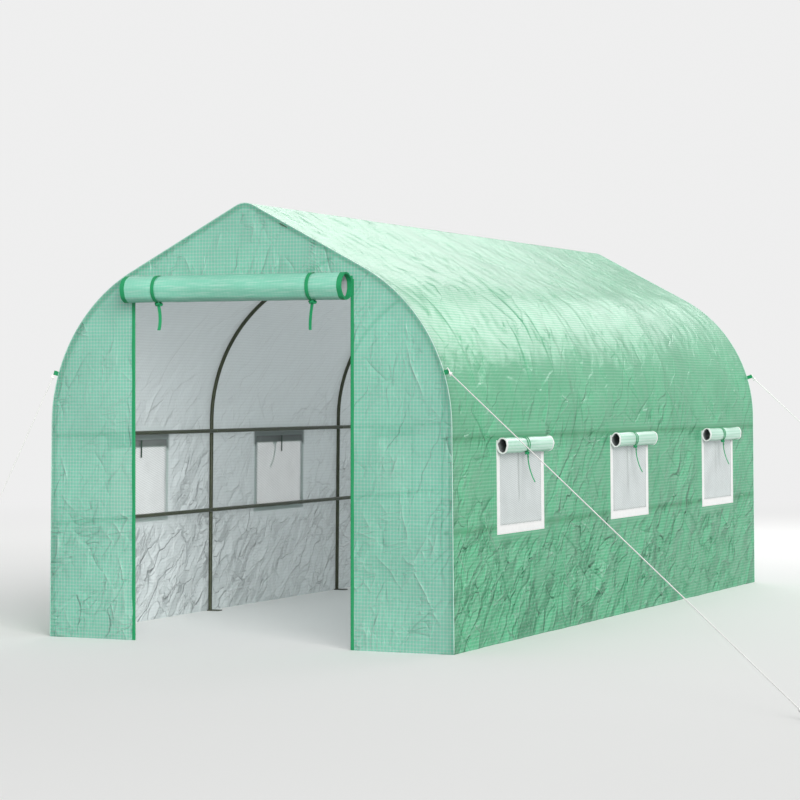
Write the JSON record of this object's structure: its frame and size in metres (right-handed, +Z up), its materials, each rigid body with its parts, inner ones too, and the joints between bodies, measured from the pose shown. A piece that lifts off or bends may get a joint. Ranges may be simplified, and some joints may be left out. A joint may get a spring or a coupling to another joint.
{
  "type": "polytunnel greenhouse",
  "caption": "Walk-in tunnel greenhouse: bent steel hoops and rails under a sewn ripstop cover with a rolled-up door flap, rolled-up net windows and guy lines to ground pegs",
  "frame": {"origin": "on the ground plane at the middle of the plan, halfway between the outermost pegs both ways", "axes": "+X is the right-hand side seen from the door end; +Y runs along the tunnel from the door end to the closed end; +Z is up"},
  "size_m": [5.9006, 7.5124, 1.945],
  "materials": {
    "frame_steel": "satin",
    "ripstop_cover": "satin",
    "end_panel": "satin",
    "rolled_flap": "satin",
    "green_webbing": "matt",
    "white_tape": "matt",
    "grey_net": "matt",
    "guy_line": "matt",
    "peg_steel": "satin"
  },
  "bodies": {
    "root": {"foot_plates": "frame_steel", "left_legs": "frame_steel", "right_legs": "frame_steel", "left_bows": "frame_steel", "right_bows": "frame_steel", "left_rafters": "frame_steel", "right_rafters": "frame_steel", "ridge_elbows": "frame_steel", "ridge_bars": "frame_steel", "left_upper_rail": "frame_steel", "right_upper_rail": "frame_steel", "left_lower_rail": "frame_steel", "right_lower_rail": "frame_steel", "left_wall_cover": "ripstop_cover", "right_wall_cover": "ripstop_cover", "left_shoulder_cover": "ripstop_cover", "right_shoulder_cover": "ripstop_cover", "left_roof_cover": "ripstop_cover", "right_roof_cover": "ripstop_cover", "rear_panel": "end_panel", "front_left_panel": "end_panel", "front_right_panel": "end_panel", "front_gable_panel": "end_panel", "door_bindings": "green_webbing", "door_roll_bindings": "green_webbing", "door_straps": "green_webbing", "door_roll": "rolled_flap", "left_window_frames": "white_tape", "right_window_frames": "white_tape", "left_window_nets": "grey_net", "right_window_nets": "grey_net", "left_window_rolls": "rolled_flap", "right_window_rolls": "rolled_flap", "left_window_ties": "green_webbing", "right_window_ties": "green_webbing", "guy_tabs": "green_webbing", "ground_pegs": "peg_steel", "guy_rope_front_right": "guy_line", "guy_rope_front_left": "guy_line", "guy_rope_rear_right": "guy_line", "guy_rope_rear_left": "guy_line"}
  },
  "joints": []
}
